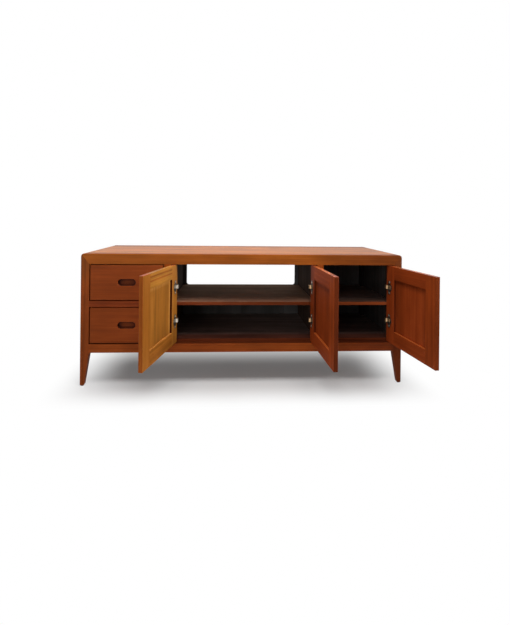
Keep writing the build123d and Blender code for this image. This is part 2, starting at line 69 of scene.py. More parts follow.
# %% [markdown]
# ## The camera
# The picture is taken from a little left of the middle, at about eye level of someone who sits,
# with the camera held level so that every upright stays upright. A level camera that sees the
# stand below its axis needs a lens shift, as an architect's camera has. Tilting the camera down
# would be simpler, but then the posts would lean together. The lens and the shift are worked
# out from the focal length and the axis point, both in pixels of a 510 by 625 picture, whose
# longer side the sensor spans.

# %% Camera
PICTURE = (510, 625)
FOCAL_PIXELS = 352.93
AXIS_PIXEL = (245.19, 216.3)
SENSOR = 36.0

camera = bpy.data.objects.new("camera", bpy.data.cameras.new("camera"))
bpy.context.scene.collection.objects.link(camera)
bpy.context.scene.camera = camera
lens = camera.data
lens.sensor_width = SENSOR
lens.lens = SENSOR * FOCAL_PIXELS / PICTURE[1]
lens.shift_x = (PICTURE[0] / 2 - AXIS_PIXEL[0]) / PICTURE[1]
lens.shift_y = (AXIS_PIXEL[1] - PICTURE[1] / 2) / PICTURE[1]

CAMERA_PLACE = Vector((-0.0754, -1.8765, 0.7849))
CAMERA_YAW = 0.0456
CAMERA_ROLL = 0.0108
camera.matrix_world = (Matrix.Translation(CAMERA_PLACE) @ Matrix.Rotation(-CAMERA_YAW, 4, "Z")
                       @ Matrix.Rotation(math.pi / 2, 4, "X") @ Matrix.Rotation(CAMERA_ROLL, 4, "Z"))
bpy.context.scene.view_settings.view_transform = "Standard"
print(f"lens {lens.lens:.2f} mm, shift {lens.shift_x:.4f} {lens.shift_y:.4f}")

# %% [markdown]
# ## Shader sums
# A finish is a network of nodes. Placing them one by one hides the idea behind the wiring, so
# small classes are used instead. `Wire` wraps one socket and overloads the arithmetic operators,
# so that `1 - mask * 0.5` adds its own Math nodes. `Network` adds any other node from its type,
# its settings and its sockets, and `Finish` has short names for the nodes that are used most.

# %% Wire
class Wire:
    """One output socket in a network. Sums on it add Math or Vector Math nodes."""

    def __init__(self, network, socket):
        self.network = network
        self.socket = socket

    def _sum(self, operation, left, right):
        pair = [w for w in (left, right) if isinstance(w, Wire)]
        kind = "VectorMath" if any(w.socket.type == "VECTOR" for w in pair) else "Math"
        return self.network.node(kind, {"operation": operation}, {0: left, 1: right})

    def __add__(self, other):
        return self._sum("ADD", self, other)

    def __radd__(self, other):
        return self._sum("ADD", other, self)

    def __sub__(self, other):
        return self._sum("SUBTRACT", self, other)

    def __rsub__(self, other):
        return self._sum("SUBTRACT", other, self)

    def __mul__(self, other):
        return self._sum("MULTIPLY", self, other)

    def __rmul__(self, other):
        return self._sum("MULTIPLY", other, self)

    def __truediv__(self, other):
        return self._sum("DIVIDE", self, other)

    def __rtruediv__(self, other):
        return self._sum("DIVIDE", other, self)

    def __abs__(self):
        return self.network.node("Math", {"operation": "ABSOLUTE"}, {0: self})


print("sums that may start with a plain number:", [n for n in vars(Wire) if n.startswith("__r")])

# %% Network
class Network:
    """The nodes of one material, or of the world."""

    def __init__(self, owner):
        owner.use_nodes = True
        self.owner = owner
        self.tree = owner.node_tree
        self.tree.nodes.clear()

    def node(self, kind, settings=None, sockets=None, output=0):
        """Adds a node: its settings first, then the values or links of its sockets."""
        made = self.tree.nodes.new("ShaderNode" + kind)
        for name, value in (settings or {}).items():
            if name == "stops":
                self._stops(made.color_ramp.elements, value)
            else:
                setattr(made, name, value)
        for name, value in (sockets or {}).items():
            if isinstance(value, Wire):
                self.tree.links.new(value.socket, made.inputs[name])
            else:
                made.inputs[name].default_value = value
        return Wire(self, made.outputs[output])

    @staticmethod
    def _stops(elements, stops):
        while len(elements) < len(stops):
            elements.new(1.0)
        for element, (place, colour) in zip(elements, stops):
            element.position = place
            element.color = (*colour, 1.0)

    def output(self, surface, kind="Material"):
        """Closes the network with its output and returns what it belongs to."""
        end = self.tree.nodes.new("ShaderNodeOutput" + kind)
        self.tree.links.new(surface.socket, end.inputs["Surface"])
        return self.owner


print("network of any nodes ready")

# %% Finish
MIX_SHARE, MIX_FIRST, MIX_SECOND, MIX_RESULT = 0, 6, 7, 2
AVERAGE = 0.5


class Finish(Network):
    """A network with short names for the nodes that are used most."""

    def mix(self, share, first, second):
        """Blends two colours."""
        first, second = [(*c, 1.0) if isinstance(c, tuple) else c for c in (first, second)]
        sockets = {MIX_SHARE: share, MIX_FIRST: first, MIX_SECOND: second}
        return self.node("Mix", {"data_type": "RGBA"}, sockets, output=MIX_RESULT)

    def mix_surfaces(self, share, first, second):
        """Blends two surfaces, or two skies."""
        return self.node("MixShader", None, {0: share, 1: first, 2: second})

    def ramp(self, value, *stops):
        """A colour that follows a value."""
        return self.node("ValToRGB", {"stops": stops}, {"Fac": value})

    def fade(self, value, start, end):
        """0 up to start, 1 from end on, and smooth between them."""
        settings = {"interpolation_type": "SMOOTHSTEP"}
        return self.node("MapRange", settings, {"Value": value, "From Min": start, "From Max": end})

    def noise(self, place, detail=2.0, roughness=0.5):
        """Cloudy noise between 0 and 1, with one cloud to each unit of place."""
        sockets = {"Vector": place, "Scale": 1.0, "Detail": detail, "Roughness": roughness}
        return self.node("TexNoise", None, sockets)

    def part(self, vector, axis):
        """One of the three numbers of a vector."""
        return self.node("SeparateXYZ", None, {0: vector}, output=axis)

    def dot(self, first, second):
        """How far two directions agree."""
        return self.node("VectorMath", {"operation": "DOT_PRODUCT"}, {0: first, 1: second}, output="Value")

    def length(self, vector):
        """How long a vector is."""
        return self.node("VectorMath", {"operation": "LENGTH"}, {0: vector}, output="Value")


def new_finish(name):
    """An empty finish for a new material."""
    return Finish(bpy.data.materials.new(name))


print("short names:", [n for n in vars(Finish) if not n.startswith("_")])

# %% [markdown]
# ## White surroundings
# The stand is shown on white, with only its own soft shadow under it. The white is what the
# camera and mirror-like reflections see, while the light that falls on the wood from all round
# is much weaker. A bright white world would be simpler, but it would bleach the wood and fill
# the shade inside the bays.

# %% World
AMBIENT = 0.2
WHITE = (1.0, 1.0, 1.0, 1.0)


def seen_directly(finish):
    """1 for what the camera, a mirror or a pane shows, 0 for light that only bounces."""
    path = finish.node("LightPath")
    outputs = path.socket.node.outputs
    rays = [Wire(finish, outputs[name]) for name in
            ("Is Camera Ray", "Is Glossy Ray", "Is Transmission Ray")]
    total = rays[0] + rays[1] + rays[2]
    return finish.node("Clamp", None, {"Value": total})


def white_world():
    """White where it is seen, and a weak, even light elsewhere."""
    sky = Finish(bpy.context.scene.world or bpy.data.worlds.new("world"))
    bpy.context.scene.world = sky.owner
    ambient = sky.node("Background", None, {"Color": WHITE, "Strength": AMBIENT})
    white = sky.node("Background", None, {"Color": WHITE, "Strength": 1.0})
    sky.output(sky.mix_surfaces(seen_directly(sky), ambient, white), "World")


white_world()
print("world:", bpy.context.scene.world.name, "with ambient light", AMBIENT)

# %% [markdown]
# ## Floor
# The floor near the stand is a plain pale surface that takes the shadow, with a small share of
# white glow mixed in, which lightens the shadow as painted light. From close round the stand it
# fades into the same even white as the world, which paints light over the outer parts of the
# shadow. It sends back less light than it shows, so that no pale glow lies on the undersides. A
# white floor all over, under brighter lamps, would do too, but then the wood would bleach.

# %% Floor
FLOOR_RADIUS = 14.0
FLOOR_DROP = 0.2 * MM
# The fades turn the floor white from close round the stand, which paints light over the shadow's edges.
SIDE_FADE = (0.56, 0.9)
FRONT_FADE = (0.22, 0.44)
BACK_FADE = (-0.02, 0.45)
FLOOR_SEEN = 0.83
FLOOR_BOUNCE = 0.55
# A share of white glow in the floor near the stand lightens its shadow, as painted light.
SHADOW_LIFT = 0.06


def white_floor_finish():
    """A pale floor that takes the shadow near the stand, lightened by a little painted glow, and fades to
    pure white round it.
    """
    paint = new_finish("white_floor")
    seen = seen_directly(paint)
    place = paint.node("TexCoord", output="Object")
    across, along = paint.part(place, "X"), paint.part(place, "Y")
    side = paint.fade(abs(across), *SIDE_FADE)
    front = paint.fade(along * -1.0, *FRONT_FADE)
    back = paint.fade(along, *BACK_FADE)
    far = 1.0 - (1.0 - side) * (1.0 - front) * (1.0 - back)
    bare = paint.node("BsdfDiffuse", None, {"Color": (FLOOR_SEEN,) * 3 + (1,)})
    dull = paint.node("BsdfDiffuse", None, {"Color": (FLOOR_BOUNCE,) * 3 + (1,)})
    white = paint.node("Emission", None, {"Color": WHITE, "Strength": 1.0})
    lifted = paint.mix_surfaces(SHADOW_LIFT, bare, white)
    near = paint.mix_surfaces(seen, dull, lifted)
    return paint.output(paint.mix_surfaces(far * seen, near, white))


def disc(name, radius, sides=96):
    """A flat round sheet at floor level."""
    sheet = bmesh.new()
    bmesh.ops.create_circle(sheet, cap_ends=True, radius=radius, segments=sides)
    mesh = bpy.data.meshes.new(name)
    sheet.to_mesh(mesh)
    sheet.free()
    made = bpy.data.objects.new(name, mesh)
    bpy.context.scene.collection.objects.link(made)
    return made


floor = disc("floor", FLOOR_RADIUS)
floor.data.materials.append(white_floor_finish())
floor.location.z = cad_box[0].z - FLOOR_DROP
print("floor at", round(floor.location.z, 5))

# %% [markdown]
# ## Lamps
# Most of the light comes from a panel above the front, which leaves the bays deep in shade and
# draws the shadow's front edge under the apron. A panel far off, left of the camera, fills the
# fronts, a narrow beam from the right brightens the inside of the left door, and a panel behind
# shows the back. One lamp would be simpler, but every face that it misses would turn black. The
# panel behind isn't mirrored, because the oiled top would throw it straight at the camera.

# %% Lamps
def panel_light(name, place, target, size, watts, spread=math.pi, mirrored=True):
    """A soft rectangular light that faces a point. A narrow spread works as a honeycomb does,
    and a light that isn't mirrored leaves no highlight."""
    light = bpy.data.lights.new(name, "AREA")
    light.shape = "RECTANGLE"
    light.size, light.size_y = size
    light.energy = watts
    light.spread = spread
    lamp = bpy.data.objects.new(name, light)
    bpy.context.scene.collection.objects.link(lamp)
    lamp.location = place
    lamp.visible_glossy = mirrored
    lamp.rotation_mode = "QUATERNION"
    lamp.rotation_quaternion = (Vector(target) - Vector(place)).to_track_quat("-Z", "Y")
    return lamp


STAND_MIDDLE = (cad_box[0] + cad_box[1]) / 2
LEFT_DOOR_MIDDLE = sum(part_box("left_door_panel"), Vector()) / 2
NARROW_BEAM = math.radians(26)
lamps = [
    panel_light("overhead_panel", (-0.02, -0.8, 1.9), STAND_MIDDLE, size=(1.3, 0.6), watts=21.0),
    panel_light("front_panel", (-1.7, -3.0, 1.0), STAND_MIDDLE, size=(2.0, 1.2), watts=22.0),
    panel_light("right_panel", (2.4, -1.0, 1.7), LEFT_DOOR_MIDDLE, size=(1.0, 1.0), watts=2.5,
                spread=NARROW_BEAM),
    panel_light("back_panel", (0.6, 2.6, 1.9), STAND_MIDDLE, size=(2.2, 1.0), watts=13.0,
                mirrored=False)]
print("lamps:", [lamp.name for lamp in lamps])

# %% [markdown]
# ## Boards from a log
# Each board is cut along the grain, so its figure is long streaks with a slow waver, finer fibres
# on top and short dark pores, the way teak shows them. A picture of wood would do for one board,
# but it would not follow the end grain, and every board would look the same. A solid pattern in
# the board's own space does both: each board, and each strip that a wide board is glued up from,
# takes its own place in the log.

# %% Board coordinates
GRAIN_TURNS = {"X": (0, 0, 0), "Y": (0, 0, -math.pi / 2), "Z": (0, math.pi / 2, 0)}
STRIP_SHIFT = 9.0
STRIP_SEED = 50.0


def shut_place(paint, turn):
    """Object coordinates, with the turn of a door that stands open taken back."""
    place = paint.node("TexCoord", output="Object")
    return paint.node("Mapping", None, {"Vector": place, "Rotation": (0, 0, -turn)})


def board_place(paint, grain, turn):
    """Board coordinates in metres, with the grain along the first of them."""
    sockets = {"Vector": shut_place(paint, turn), "Rotation": GRAIN_TURNS[grain]}
    return paint.node("Mapping", None, sockets)


def strips(paint, place, across, width, board):
    """A number between 0 and 1 for each of the strips that a wide board is glued up from."""
    count = paint.part(place, across) / width + board * STRIP_SHIFT
    strip = paint.node("Math", {"operation": "FLOOR"}, {0: count})
    settings = {"noise_dimensions": "1D"}
    return paint.node("TexWhiteNoise", settings, {"W": strip + board * STRIP_SEED}, output="Value")


print("grain directions:", sorted(GRAIN_TURNS))

# %% [markdown]
# ## Rings and worn, highlighted edges
# Growth rings are a few millimetres to a few centimetres wide, so they are the figure that shows
# from across a room. A wave texture gives even stripes, which look printed. Noise along one
# line, read by the distance from the log's heart, gives bands of uneven width instead. Edges
# are found with the Bevel node, whose normal leaves the true one wherever a corner is near.

# %% Figure of the wood
HEART = (0.0, 0.12, 0.2)
ACROSS_GRAIN = (0.0, 1.0, 1.0)
LOG_TAPER = 0.012
WAVER = 0.04
WAVER_SCALE = (0.8, 4.0, 4.0)
RING_NOISE = {"Scale": 62.0, "Detail": 4.0, "Roughness": 0.6}
WEAR_AND_HIGHLIGHT_SAMPLES = 4
WEAR_AND_HIGHLIGHT_FADE = (0.02, 0.2)


def rings(paint, log):
    """Growth rings: uneven bands round the heart of the log, which tapers along the grain."""
    waver = paint.noise(log * WAVER_SCALE) - AVERAGE
    radius = paint.length(log * ACROSS_GRAIN + HEART)
    depth = radius + paint.part(log, "X") * LOG_TAPER + waver * WAVER
    return paint.node("TexNoise", {"noise_dimensions": "1D"}, {"W": depth, **RING_NOISE})


def edge_wear_and_highlight(paint, radius):
    """1 along the sharp edges, where hands and dusters rub the finish and where a painted highlight lies."""
    rounded = paint.node("Bevel", {"samples": WEAR_AND_HIGHLIGHT_SAMPLES}, {"Radius": radius})
    flat = paint.node("NewGeometry", output="True Normal")
    return paint.fade(1.0 - paint.dot(rounded, flat), *WEAR_AND_HIGHLIGHT_FADE)


print("rings:", RING_NOISE)

# %% [markdown]
# ## Tones of a wood
# Every wood has darker and lighter bands of much the same hue. Three written colours for each
# board would hide what sets the boards apart, so a wood is given as one colour, the middle tone
# that a screen would show, and its dark and light bands follow from that.

# %% Tones
DARK_BAND = 0.78
LIGHT_BAND = 1.13
LIGHT_LIFT = 8
BAND_STOPS = (0.33, 0.5, 0.67)


def screen_light(value):
    """The amount of light that a screen gives for a number from 0 to 255, by the sRGB curve."""
    share = value / 255
    return share / 12.92 if share <= 0.04045 else ((share + 0.055) / 1.055) ** 2.4


def wood(*middle):
    """The dark, middle and light tones of a wood, from its middle colour on a screen."""
    bands = ([v * DARK_BAND for v in middle], middle, [v * LIGHT_BAND + LIGHT_LIFT for v in middle])
    return [tuple(screen_light(v) for v in band) for band in bands]


def toned(paint, tone, tones):
    """The colour of a tone, from the dark bands of a wood to its light ones."""
    return paint.ramp(tone, *zip(BAND_STOPS, tones))


TEAK_RED = wood(134, 60, 21)
print("tones of red teak:", [[round(v, 3) for v in band] for band in TEAK_RED])

# %% [markdown]
# ## The timber finish
# Rings, fibres, broad clouds and the tone of each glued strip add up to one number, and a ramp
# of three tones turns it into colour. Pores darken it, rubbed edges lighten it, partly as wear and
# partly as a painted highlight, and both change the gloss too. A plain colour with a bump would be
# quicker, but it would look like plastic. Polish shines only on what faces up, because that is
# where a cloth is drawn over the oil.

# %% Timber
LOG_SPREAD = (9.0, 0.5, 0.4)
FIBRE_SCALE = (6.0, 340.0, 340.0)
CLOUD_SCALE = (4.0, 13.0, 13.0)
PORE_SCALE = (34.0, 900.0, 900.0)
PORE_FADE = (0.62, 0.74)
TONE_SHARES = {"fibres": 0.24, "clouds": 0.42}
PORE_DARKNESS = 0.4
WEAR_AND_HIGHLIGHT_RADIUS = 2.0 * MM
WEAR_AND_HIGHLIGHT_LIGHTNESS = 0.25
ROUGHER = {"fibres": 0.18, "pores": 0.2, "worn": 0.08}
RELIEF = {"fibres": 0.35, "rings": 0.25, "pores": 0.8}
RELIEF_DEPTH = {"Strength": 0.2, "Distance": 0.35 * MM}
FACING_UP = (0.6, 0.95)
COAT_ROUGHNESS = 0.3


def timber(name, tones, grain, turn=0.0, glued=None, figure=0.36, staves=0.13, gloss=0.46,
           specular=0.07, polish=0.0, layers=()):
    """An oiled hardwood. Glued is the direction across a board made of strips, with their width,
    and polish is the shine of what faces up. Each layer changes the colour."""
    paint = new_finish(name)
    place = board_place(paint, grain, turn)
    board = paint.node("ObjectInfo", output="Random")
    strip = strips(paint, place, *glued, board) if glued else board
    cut = paint.node("VectorMath", {"operation": "SCALE"}, {0: LOG_SPREAD, "Scale": strip})
    log = place + cut
    bands = rings(paint, log)
    fibres = paint.noise(log * FIBRE_SCALE, detail=3.0, roughness=0.6)
    clouds = paint.noise(log * CLOUD_SCALE)
    pores = paint.fade(paint.noise(log * PORE_SCALE, detail=1.0), *PORE_FADE)
    tone = (AVERAGE + (bands - AVERAGE) * figure + (fibres - AVERAGE) * TONE_SHARES["fibres"]
            + (clouds - AVERAGE) * TONE_SHARES["clouds"] + (strip - AVERAGE) * staves)
    colour = toned(paint, tone, tones)
    for layer in layers:
        colour = layer(paint, colour, tone)
    dark, _, light = tones
    worn = edge_wear_and_highlight(paint, WEAR_AND_HIGHLIGHT_RADIUS)
    colour = paint.mix(pores * PORE_DARKNESS, colour, dark)
    # Rubbed wear and a painted highlight lighten the edges.
    colour = paint.mix(worn * WEAR_AND_HIGHLIGHT_LIGHTNESS, colour, light)
    roughness = (gloss + (fibres - AVERAGE) * ROUGHER["fibres"] + pores * ROUGHER["pores"]
                 + worn * ROUGHER["worn"])
    height = fibres * RELIEF["fibres"] + bands * RELIEF["rings"] - pores * RELIEF["pores"]
    bump = paint.node("Bump", None, {"Height": height, **RELIEF_DEPTH})
    shine = 0.0
    if polish:
        upward = paint.part(paint.node("TexCoord", output="Normal"), "Z")
        shine = paint.fade(upward, *FACING_UP) * polish
    surface = paint.node("BsdfPrincipled", None, {
        "Base Color": colour, "Roughness": roughness, "Normal": bump,
        "Specular IOR Level": specular, "Coat Weight": shine, "Coat Roughness": COAT_ROUGHNESS})
    return paint.output(surface)


print("timber: fibres, clouds and pores to the metre", FIBRE_SCALE, CLOUD_SCALE, PORE_SCALE)

# %% [markdown]
# ## Layers
# Parts of one board differ: the inside of a bay is painted dark, as painted shade, one door's inner
# face is painted golden, as painted light, and the routed pulls are painted darker, as painted
# shade. Painting a mask would need a picture, so each layer is found from the shape itself: from
# the way a face is turned, how far along the board it lies, its distance to the frame round it,
# or how much open air it has in front of it.

# %% Layers
FACING = (0.55, 0.9)
HEIGHT_BLUR = 2.0 * MM
DEEP = wood(44, 14, 8)
POCKET_REACH = 30.0 * MM
POCKET_SAMPLES = 8
POCKET_FADE = (0.04, 0.42)
POCKET_SHADE = 0.92


def turned(direction, tones, share=1.0, both_ways=False, above=None):
    """A layer: faces turned towards a direction, above some height, have tones of their own."""
    def layer(paint, colour, tone):
        along = paint.dot(paint.node("TexCoord", output="Normal"), direction)
        facing = paint.fade(abs(along) if both_ways else along, *FACING)
        if above is not None:
            height = paint.part(paint.node("TexCoord", output="Object"), "Z")
            facing = facing * paint.fade(height, above, above + HEIGHT_BLUR)
        return paint.mix(facing * share, colour, toned(paint, tone, tones))

    return layer


def towards(axis, tones, start, end):
    """A layer: between two places along an axis, a board goes over to other tones."""
    def layer(paint, colour, tone):
        place = paint.part(paint.node("TexCoord", output="Object"), axis)
        return paint.mix(paint.fade(place, start, end), colour, toned(paint, tone, tones))

    return layer


def painted_pocket_shade(paint, colour, tone):
    """A layer: painted shade, darker inside the routed pulls, where little open air lies in front."""
    settings = {"only_local": True, "samples": POCKET_SAMPLES}
    open_air = paint.node("AmbientOcclusion", settings, {"Distance": POCKET_REACH}, output="AO")
    inside = paint.fade(1.0 - open_air, *POCKET_FADE)
    return paint.mix(inside * POCKET_SHADE, colour, toned(paint, tone, DEEP))


print("darkest tone of a pull:", [round(v, 4) for v in DEEP[0]])

# %% [markdown]
# ## Which board is cut which way
# Grain runs along a board's length: across the stand in the rails, top and drawer fronts, upright
# in the posts and stiles, and from front to back in the drawer sides. One finish for the whole
# carcase would be less work, but the boards of a real one never match: the rails are the most
# orange and the drawers are redder. The rails and the front apron are painted darker towards
# their right ends, and the apron's top darker still, as painted shade.

# %% Top, rails and drawer fronts
LEFTWARD, RIGHTWARD = Vector((-1, 0, 0)), Vector((1, 0, 0))
FORWARD, BACKWARD, UPWARD = Vector((0, -1, 0)), Vector((0, 1, 0)), Vector((0, 0, 1))
TOP = wood(176, 99, 32)
RAIL, RAIL_SHADED_END = wood(151, 79, 25), wood(130, 65, 24)
APRON, APRON_SHADED_END = wood(143, 66, 22), wood(128, 56, 22)
DRAWER_RAIL = wood(126, 53, 20)
# Painted shade: the rails and the front apron darken towards their right ends.
RIGHT_END_SHADE_FADE = (0.25, 0.65)
WIDE_STRIP = 95.0 * MM
TOP_POLISH = 0.17
RIM_POLISH = 0.12
APRON_LEDGE_SHADE = 0.8


def wear(material, *nodes_to_dress):
    """Gives construction nodes their finish."""
    for node in nodes_to_dress:
        slots = nodes[node].data.materials
        slots.clear()
        slots.append(material)


def names(*endings):
    """The construction nodes whose names end in one of these ways."""
    return [n for n in sorted(nodes) if n.endswith(endings)]


wear(timber("teak_top", TOP, "X", glued=("Y", WIDE_STRIP), staves=0.08, gloss=0.4,
            polish=TOP_POLISH), "top_panel")
wear(timber("teak_top_rails", RAIL, "X", polish=RIM_POLISH,
            layers=[towards("X", RAIL_SHADED_END, *RIGHT_END_SHADE_FADE)]), "front_top_rail", "rear_top_rail")
# Painted shade: the front apron's upward face is dark.
wear(timber("teak_front_apron", APRON, "X", layers=[
    towards("X", APRON_SHADED_END, *RIGHT_END_SHADE_FADE), turned(UPWARD, DEEP, APRON_LEDGE_SHADE)]), "front_apron")
wear(timber("teak_rear_apron", APRON, "X"), "rear_apron")
wear(timber("teak_drawer_rail", DRAWER_RAIL, "X"), "drawer_rail")
# The pulls in the drawer fronts take painted shade.
wear(timber("teak_drawer_fronts", TEAK_RED, "X", figure=0.2, layers=[painted_pocket_shade]),
     *names("drawer_front"))
print("pulls on", names("drawer_front"))

# %% [markdown]
# ## Posts and sides
# Each post runs from the floor to the mitre under the top, and near the mitre its tone comes close
# to the rail's. One tone for the whole post would be simpler, but then the corner would stand out,
# so its upper end fades over. The left post's foot is painted lighter than its upper end, as
# painted light, and the right posts are painted darker, as painted shade. The inner faces of the
# side panels, and those of the rear posts above the apron, are painted dark as the bays are, as
# painted shade.

# %% Posts and sides
# Painted light: the left post's foot is lighter than its upper end. Painted shade: the right posts are
# darker.
LEFT_POST, LEFT_CORNER = wood(148, 69, 24), wood(137, 70, 24)
SHADED_RIGHT_POST, SHADED_RIGHT_CORNER = wood(108, 46, 18), wood(113, 56, 24)
SIDE_PAINTED_SHADE, POST_PAINTED_SHADE = wood(73, 70, 68), wood(34, 31, 30)
TOP_HEIGHT = cad_box[1].z
CORNER_FADE = (TOP_HEIGHT - 0.2, TOP_HEIGHT - 0.03)
BAY_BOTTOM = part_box("front_apron")[1].z


def dress_side(side, inward, tones, corner_tones):
    """Finishes the two posts of a side, and the panel between them, whose inner face is painted dark as
    painted shade.
    """
    corner = towards("Z", corner_tones, *CORNER_FADE)
    painted_shade = [turned(way, POST_PAINTED_SHADE, above=BAY_BOTTOM) for way in (inward, FORWARD)]
    for post, layers in ((f"front_{side}_post", [corner]), (f"rear_{side}_post", [corner] + painted_shade)):
        wear(timber("teak_" + post, tones, "Z", polish=RIM_POLISH, layers=layers), post)
    wear(timber(f"teak_{side}_side", TEAK_RED, "Z", glued=("Y", WIDE_STRIP),
                layers=[turned(inward, SIDE_PAINTED_SHADE)]), f"{side}_side_panel")


dress_side("left", RIGHTWARD, LEFT_POST, LEFT_CORNER)
dress_side("right", LEFTWARD, SHADED_RIGHT_POST, SHADED_RIGHT_CORNER)
print("posts:", names("post"), "stained above", round(BAY_BOTTOM, 4))

# %% [markdown]
# ## Inside the bays
# The insides of the bays are painted in dark, greyish tones, as painted shade, and the boards
# turn paler and greyer towards the back, as painted light. Plain black would look like a hole, so
# these are timber finishes too, only dark and dull. The front edges of the shelves and the bottom
# panel keep redder, lighter tones, so they show as light lines, and the right shelf's is lighter
# still, as painted light.

# %% Bays
BAY_LOOK = {"glued": ("Y", WIDE_STRIP), "gloss": 0.75, "specular": 0.015}
# Painted shade: dark tones on the dividers' inner faces and on the hinge batten.
BAY_PAINTED_SHADE = wood(62, 50, 43)
SHELF, SHELF_REAR, SHELF_EDGE = wood(117, 82, 64), wood(127, 104, 87), wood(111, 50, 24)
# Painted shade on the right shelf's top, and painted light on its front edge.
DARK_SHELF, LIT_SHELF_EDGE = wood(62, 43, 35), wood(155, 75, 37)
# Painted light: the shelves and the bottom panel turn paler and greyer towards the back.
BAY_FLOOR, REAR_PAINTED_LIGHT = wood(63, 33, 25), wood(113, 97, 91)
REAR_LIGHT_FADE = (-0.165, -0.075)
BOARDS_IN_BAYS = (("middle_shelf", SHELF, SHELF_REAR, SHELF_EDGE, 1.0),
                  ("right_shelf", DARK_SHELF, REAR_PAINTED_LIGHT, LIT_SHELF_EDGE, 1.0),
                  ("bottom_panel", BAY_FLOOR, REAR_PAINTED_LIGHT, SHELF_EDGE, 0.75))

wear(timber("teak_dividers", APRON, "Z", **BAY_LOOK,
            layers=[turned(RIGHTWARD, BAY_PAINTED_SHADE, both_ways=True)]), *names("divider"))
for node, tones, rear, edge, edge_share in BOARDS_IN_BAYS:
    layers = [towards("Y", rear, *REAR_LIGHT_FADE), turned(FORWARD, edge, edge_share)]
    wear(timber("teak_" + node, tones, "X", **BAY_LOOK, layers=layers), node)
wear(timber("teak_cleats", TEAK_RED, "Y", gloss=0.7, specular=0.05), "shelf_cleats")
wear(timber("teak_hinge_batten", BAY_PAINTED_SHADE, "Z", gloss=0.6), "hinge_batten")
print("stained boards:", names("divider") + [row[0] for row in BOARDS_IN_BAYS])

# %% [markdown]
# ## Drawer boxes and the back
# What nobody looks at was left bare: paler wood for the drawers' sides and backs, and thin plywood
# for their bottoms and for the back of the stand, which is painted grey except on its rear face, as
# painted shade. Plywood could have a finish of its own, but a leaf of veneer is wood peeled from
# the same log, so timber with very wide strips and little figure does it.

# %% Bare wood and plywood
INNER = wood(146, 92, 60)
BACK_PAINTED_SHADE, BARE_PLY = wood(93, 92, 91), wood(158, 116, 76)
LEAF_WIDTH = 260.0 * MM


def ply(name, tones, layers=()):
    """Thin plywood: one broad leaf of veneer, with little figure."""
    return timber(name, tones, "Z", glued=("Z", LEAF_WIDTH), figure=0.15, gloss=0.7, specular=0.05,
                  layers=layers)


wear(timber("inner_teak_lengthwise", INNER, "X", gloss=0.6), *names("drawer_back"))
wear(timber("inner_teak_depthwise", INNER, "Y", gloss=0.6), *names("left_side", "right_side", "runners"))
# Painted shade: the back panels are grey except on their rear face.
wear(ply("back_ply", BACK_PAINTED_SHADE, [turned(BACKWARD, BARE_PLY)]), *names("back_panel"))
wear(ply("drawer_ply", INNER), *names("drawer_bottom"))
print("plywood on", names("back_panel", "drawer_bottom"))

# %% [markdown]
# ## The doors
# A door's pattern turns with the door. It could be laid on each door as it stands, but then the
# grain would run askew through the open ones, so it is worked out as if the door were shut, and
# the direction of each face is turned by the angle at which the door stands. That angle is read
# from the hinge's travel: each hinge is shut at the upper end of it.

# %% Doors as if shut
def door_turn(door):
    """How far a door stands round from shut, about +Z, from its hinge's travel."""
    joint = next(j for j in frame["joints"] if j["child"] == door)
    return -math.radians(joint["range_deg"][1]) * joint["axis"][2]


def box_of(points):
    """The lowest and highest corners of some points."""
    return [Vector(map(pick, zip(*points))) for pick in (min, max)]


def shut_box(node, turn):
    """The box of a door's node, with the door's turn taken back."""
    back = Matrix.Rotation(-turn, 3, "Z")
    return box_of([back @ vertex.co for vertex in nodes[node].data.vertices])


DOORS = ("left_door", "middle_door", "right_door")
DOOR_TURNS = {door: door_turn(door) for door in DOORS}
print("doors stand at", {d: round(math.degrees(a), 1) for d, a in DOOR_TURNS.items()})

# %% [markdown]
# ## Bands and veins
# Where a panel meets its frame, a soft band runs along some of its sides. On the left door it is
# paler; on the others it is darker, as painted shade cast by the frame. The left door's top rail
# also has two dark veins. Both could be drawn as a texture, but the distance to a panel's edge and
# a height on the rail give them with no picture, and a little noise keeps the veins from looking
# ruled.

# %% Layers of the doors
PANEL_GROOVE = 8.0 * MM
BAND_START = 0.4
VEIN_START = 0.2
VEIN_SHARE = 0.9
VEIN_WAVER = 4.0 * MM
VEIN_WAVER_SCALE = (9.0, 9.0, 9.0)


def banded(door, sides, width, tones, share):
    """A layer: a soft band of other tones along some sides of a panel's inner face."""
    turn = DOOR_TURNS[door]
    low, high = shut_box(door + "_panel", turn)
    inward = Matrix.Rotation(turn, 3, "Z") @ BACKWARD

    def layer(paint, colour, tone):
        place = shut_place(paint, turn)
        x, z = paint.part(place, "X"), paint.part(place, "Z")
        gaps = {"left": x - low.x, "right": high.x - x, "top": high.z - z}
        clear = 1.0
        for side in sides:
            clear = clear * paint.fade(gaps[side] - PANEL_GROOVE, width * BAND_START, width)
        inner = paint.fade(paint.dot(paint.node("TexCoord", output="Normal"), inward), *FACING)
        return paint.mix((1.0 - clear) * inner * share, colour, toned(paint, tone, tones))

    return layer


def veined(levels, width, tones):
    """A layer: dark veins that run along the grain of a rail, at some heights."""
    def layer(paint, colour, tone):
        place = paint.node("TexCoord", output="Object")
        waver = paint.noise(place * VEIN_WAVER_SCALE) - AVERAGE
        height = paint.part(place, "Z") + waver * VEIN_WAVER
        for level in levels:
            vein = 1.0 - paint.fade(abs(height - level), width * VEIN_START, width)
            colour = paint.mix(vein * VEIN_SHARE, colour, toned(paint, tone, tones))
        return colour

    return layer


print("panel of the left door, shut:", [tuple(round(v, 3) for v in corner) for corner in
                                        shut_box("left_door_panel", DOOR_TURNS["left_door"])])

